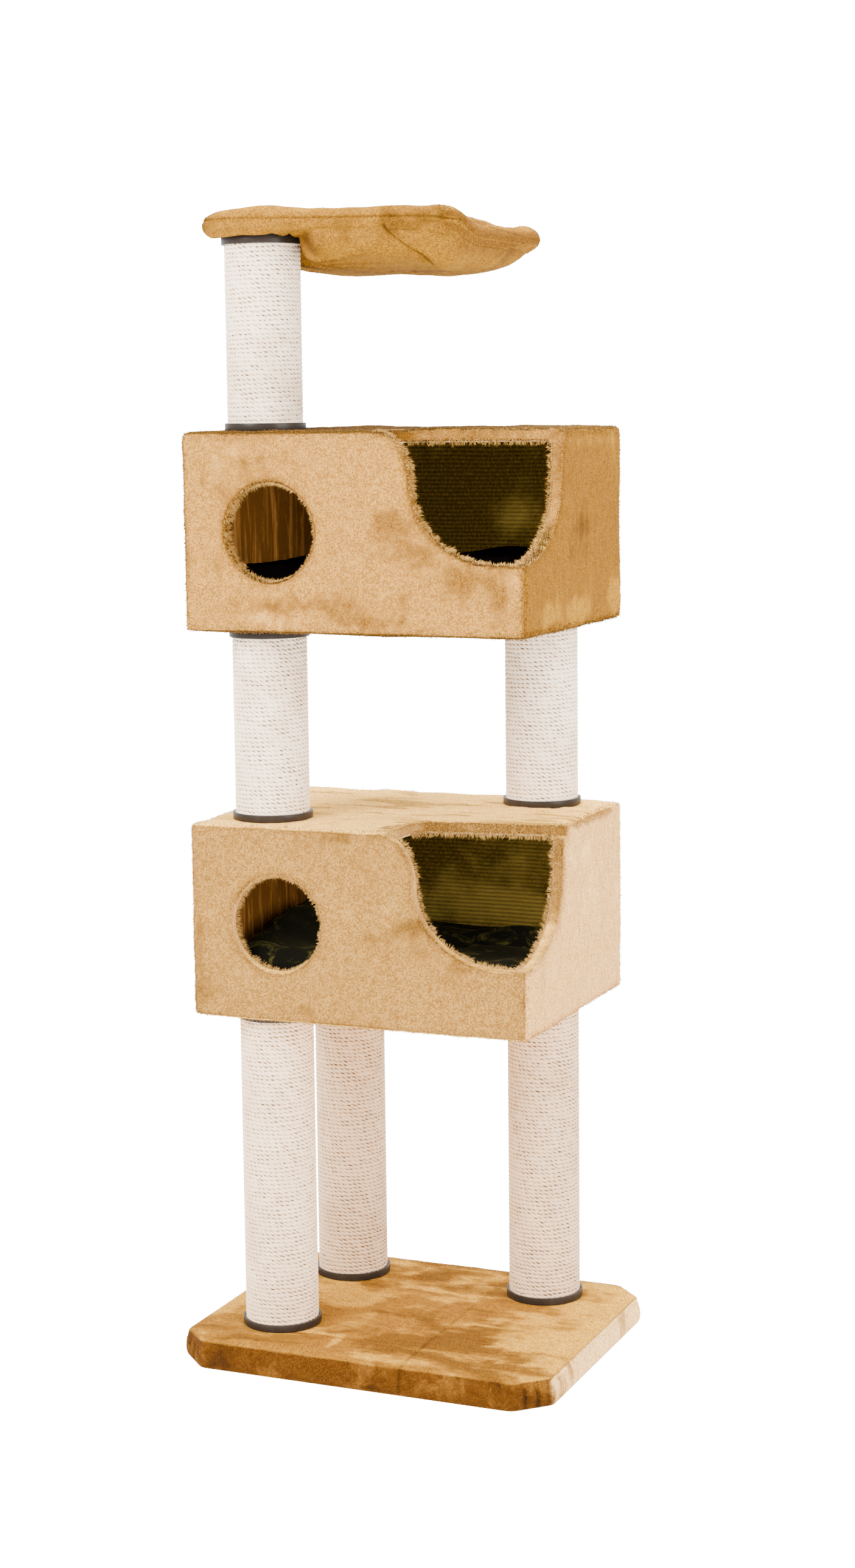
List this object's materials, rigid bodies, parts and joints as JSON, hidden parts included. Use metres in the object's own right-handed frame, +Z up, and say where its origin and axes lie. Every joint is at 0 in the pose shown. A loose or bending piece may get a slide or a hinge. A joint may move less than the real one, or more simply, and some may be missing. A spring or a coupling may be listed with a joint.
{
  "type": "cat tree",
  "caption": "Tall cat tree: plush base, rope-wrapped posts, two plush houses with round doorways and open corners, and a hammock on a swivelling frame.",
  "frame": {"origin": "centre of the base's underside, on the floor", "axes": "+Z up, -Y towards the side with the round doorways, +X towards the side with the open corners"},
  "size_m": [0.62, 0.5, 1.7672],
  "materials": {
    "plush": "soft",
    "base_plush": "soft",
    "sling_plush": "soft",
    "rope": "coarse",
    "back_lining": "ribbed",
    "side_lining": "soft",
    "cushion": "velvet",
    "board": "raw",
    "tube_card": "raw",
    "cap_plastic": "satin",
    "frame_paint": "satin",
    "zinc_steel": "zinc plated",
    "brass": "turned"
  },
  "bodies": {
    "tower": {"base_board": "board", "base_plush": "base_plush", "base_staples": "zinc_steel", "front_leg_tube": "tube_card", "front_leg_rope": "rope", "front_leg_lower_cap": "cap_plastic", "front_leg_upper_cap": "cap_plastic", "rear_left_leg_tube": "tube_card", "rear_left_leg_rope": "rope", "rear_left_leg_lower_cap": "cap_plastic", "rear_left_leg_upper_cap": "cap_plastic", "rear_right_leg_tube": "tube_card", "rear_right_leg_rope": "rope", "rear_right_leg_lower_cap": "cap_plastic", "rear_right_leg_upper_cap": "cap_plastic", "front_column_tube": "tube_card", "front_column_rope": "rope", "front_column_lower_cap": "cap_plastic", "front_column_upper_cap": "cap_plastic", "rear_column_tube": "tube_card", "rear_column_rope": "rope", "rear_column_lower_cap": "cap_plastic", "rear_column_upper_cap": "cap_plastic", "top_post_tube": "tube_card", "top_post_rope": "rope", "top_post_lower_cap": "cap_plastic", "top_post_upper_cap": "cap_plastic", "lower_house_floor": "board", "lower_house_roof": "board", "lower_house_front": "board", "lower_house_back": "board", "lower_house_left_side": "board", "lower_house_right_side": "board", "lower_house_plush": "plush", "lower_house_back_lining": "back_lining", "lower_house_side_lining": "side_lining", "lower_house_cushion": "cushion", "lower_house_screws": "zinc_steel", "upper_house_floor": "board", "upper_house_roof": "board", "upper_house_front": "board", "upper_house_back": "board", "upper_house_left_side": "board", "upper_house_right_side": "board", "upper_house_plush": "plush", "upper_house_back_lining": "back_lining", "upper_house_side_lining": "side_lining", "upper_house_cushion": "cushion", "upper_house_screws": "zinc_steel", "post_bolts": "zinc_steel", "post_washers": "zinc_steel", "post_inserts": "brass", "hammock_bolt": "zinc_steel", "hammock_washer": "zinc_steel"},
    "hammock": {"hammock_plate": "frame_paint", "hammock_frame": "frame_paint", "hammock_sling": "sling_plush"}
  },
  "joints": [
    {"name": "hammock_swivel", "type": "hinge", "parent": "tower", "child": "hammock", "pos_m": [-0.178, -0.12, 1.7303], "axis": [0, 0, 1], "continuous": true}
  ]
}
